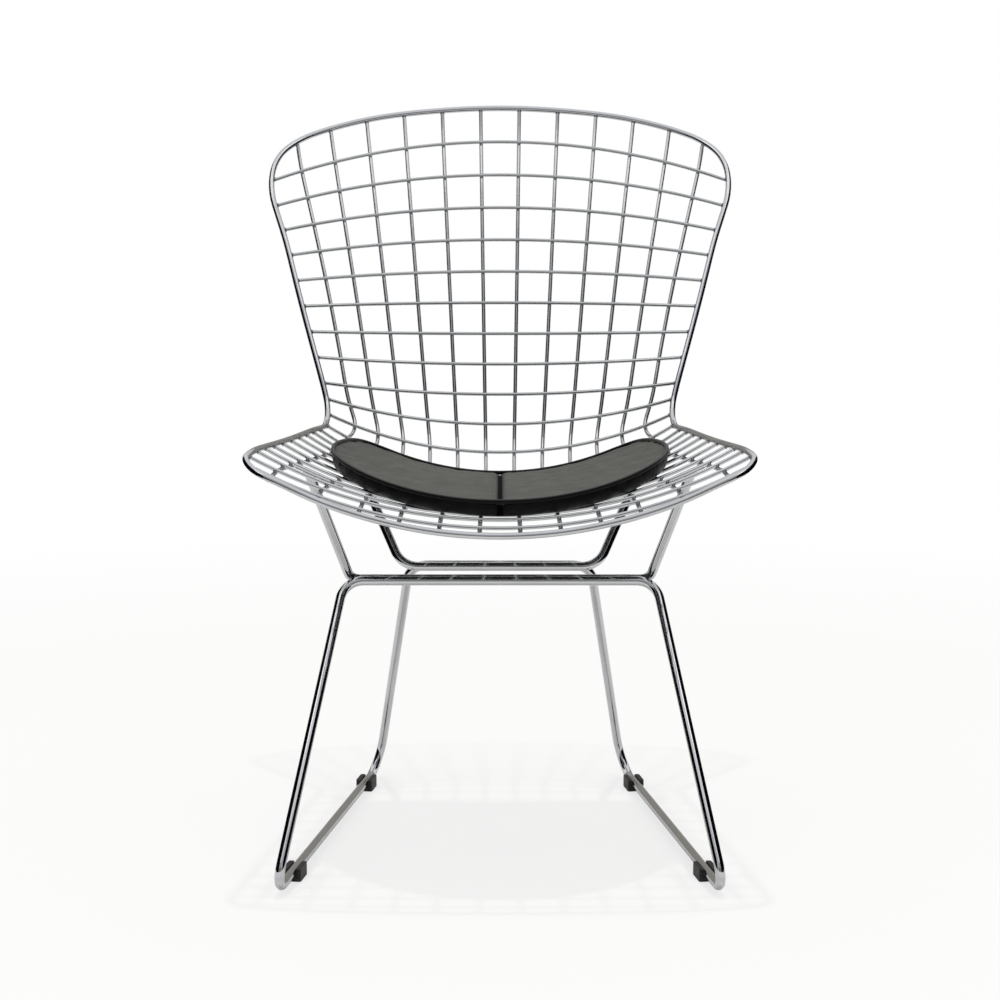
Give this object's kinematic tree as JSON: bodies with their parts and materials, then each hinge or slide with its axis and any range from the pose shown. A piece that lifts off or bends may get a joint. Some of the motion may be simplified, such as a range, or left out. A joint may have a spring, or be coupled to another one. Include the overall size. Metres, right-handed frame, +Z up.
{
  "type": "wire mesh chair",
  "caption": "Chair with a welded wire mesh seat and back in one curved shell, on a bent rod base with side runners and struts, with a thin upholstered seat pad.",
  "frame": {"origin": "centre of the bounding box in plan, on the floor under the glides", "axes": "+Z up, the sitter faces -Y, +X is to the right in the front view"},
  "size_m": [0.528, 0.54, 0.7912],
  "materials": {
    "chrome_rim": "polished chrome plating",
    "chrome_wire": "polished chrome plating",
    "chrome_rod": "polished chrome plating",
    "chrome_strip": "polished chrome plating",
    "glide_plastic": "moulded, matt",
    "foam": "open-cell foam",
    "pad_leather": "fine grain, semi-matt",
    "piping_leather": "fine grain, semi-matt"
  },
  "bodies": {
    "root": {"rim_wire": "chrome_rim", "long_wire_01": "chrome_wire", "long_wire_02": "chrome_wire", "long_wire_03": "chrome_wire", "long_wire_04": "chrome_wire", "long_wire_05": "chrome_wire", "long_wire_06": "chrome_wire", "long_wire_07": "chrome_wire", "long_wire_08": "chrome_wire", "long_wire_09": "chrome_wire", "long_wire_10": "chrome_wire", "long_wire_11": "chrome_wire", "long_wire_12": "chrome_wire", "cross_wire_01": "chrome_wire", "cross_wire_02": "chrome_wire", "cross_wire_03": "chrome_wire", "cross_wire_04": "chrome_wire", "cross_wire_05": "chrome_wire", "cross_wire_06": "chrome_wire", "cross_wire_07": "chrome_wire", "cross_wire_08": "chrome_wire", "cross_wire_09": "chrome_wire", "cross_wire_10": "chrome_wire", "cross_wire_11": "chrome_wire", "cross_wire_12": "chrome_wire", "cross_wire_13": "chrome_wire", "cross_wire_14": "chrome_wire", "cross_wire_15": "chrome_wire", "cross_wire_16": "chrome_wire", "cross_wire_17": "chrome_wire", "cross_wire_18": "chrome_wire", "cross_wire_19": "chrome_wire", "cross_wire_20": "chrome_wire", "cross_wire_21": "chrome_wire", "cross_wire_22": "chrome_wire", "cross_wire_23": "chrome_wire", "leg_frame_left": "chrome_rod", "leg_frame_right": "chrome_rod", "front_strut_yoke": "chrome_rod", "rear_strut_yoke": "chrome_rod", "seat_bracket_front_left": "chrome_strip", "seat_bracket_front_right": "chrome_strip", "seat_bracket_rear_left": "chrome_strip", "seat_bracket_rear_right": "chrome_strip", "glide_front_left": "glide_plastic", "glide_front_right": "glide_plastic", "glide_rear_left": "glide_plastic", "glide_rear_right": "glide_plastic", "pad_foam_core": "foam", "pad_cover_left": "pad_leather", "pad_cover_right": "pad_leather", "pad_piping": "piping_leather"}
  },
  "joints": []
}
